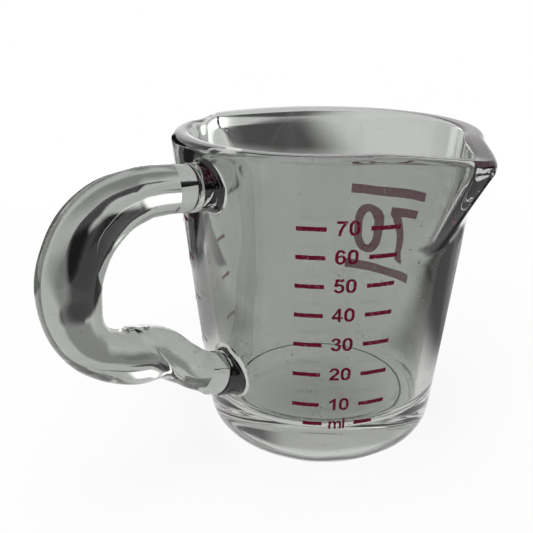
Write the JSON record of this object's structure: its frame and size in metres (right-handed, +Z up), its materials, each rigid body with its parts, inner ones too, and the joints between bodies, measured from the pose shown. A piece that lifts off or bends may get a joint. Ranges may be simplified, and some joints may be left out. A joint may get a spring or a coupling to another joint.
{
  "type": "measuring jug",
  "caption": "Small thick-walled glass measuring jug with two opposite pouring lips, a bent glass rod handle and fired enamel volume scales in millilitres and ounces and a plain 70 as its capacity mark.",
  "frame": {"origin": "centre of the flat underside of the cup, on the surface it stands on", "axes": "+Z up, handle towards -X, the two pouring lips towards -Y and +Y"},
  "size_m": [0.0916, 0.075, 0.064],
  "materials": {
    "clear_glass": "clear pressed and drawn soda-lime glass with a faint green-grey body, fire polished",
    "burgundy_enamel": "fired screen-printed burgundy enamel, satin, with small pinholes"
  },
  "bodies": {
    "root": {"cup_body": "clear_glass", "handle": "clear_glass", "ml_bar_10_left": "burgundy_enamel", "ml_bar_10_right": "burgundy_enamel", "ml_figure_10_tens": "burgundy_enamel", "ml_figure_10_units": "burgundy_enamel", "ml_bar_20_left": "burgundy_enamel", "ml_bar_20_right": "burgundy_enamel", "ml_figure_20_tens": "burgundy_enamel", "ml_figure_20_units": "burgundy_enamel", "ml_bar_30_left": "burgundy_enamel", "ml_bar_30_right": "burgundy_enamel", "ml_figure_30_tens": "burgundy_enamel", "ml_figure_30_units": "burgundy_enamel", "ml_bar_40_left": "burgundy_enamel", "ml_bar_40_right": "burgundy_enamel", "ml_figure_40_tens": "burgundy_enamel", "ml_figure_40_units": "burgundy_enamel", "ml_bar_50_left": "burgundy_enamel", "ml_bar_50_right": "burgundy_enamel", "ml_figure_50_tens": "burgundy_enamel", "ml_figure_50_units": "burgundy_enamel", "ml_bar_60_left": "burgundy_enamel", "ml_bar_60_right": "burgundy_enamel", "ml_figure_60_tens": "burgundy_enamel", "ml_figure_60_units": "burgundy_enamel", "ml_bar_70_left": "burgundy_enamel", "ml_bar_70_right": "burgundy_enamel", "ml_figure_70_tens": "burgundy_enamel", "ml_figure_70_units": "burgundy_enamel", "oz_bar_half_left": "burgundy_enamel", "oz_bar_half_right": "burgundy_enamel", "oz_bar_one_left": "burgundy_enamel", "oz_bar_one_right": "burgundy_enamel", "oz_bar_one_half_left": "burgundy_enamel", "oz_bar_one_half_right": "burgundy_enamel", "oz_bar_two_left": "burgundy_enamel", "oz_bar_two_right": "burgundy_enamel", "oz_figure_one": "burgundy_enamel", "oz_figure_two": "burgundy_enamel", "capacity_bar_lower": "burgundy_enamel", "capacity_bar_upper": "burgundy_enamel", "capacity_figure_tens": "burgundy_enamel", "capacity_figure_units": "burgundy_enamel"}
  },
  "joints": []
}
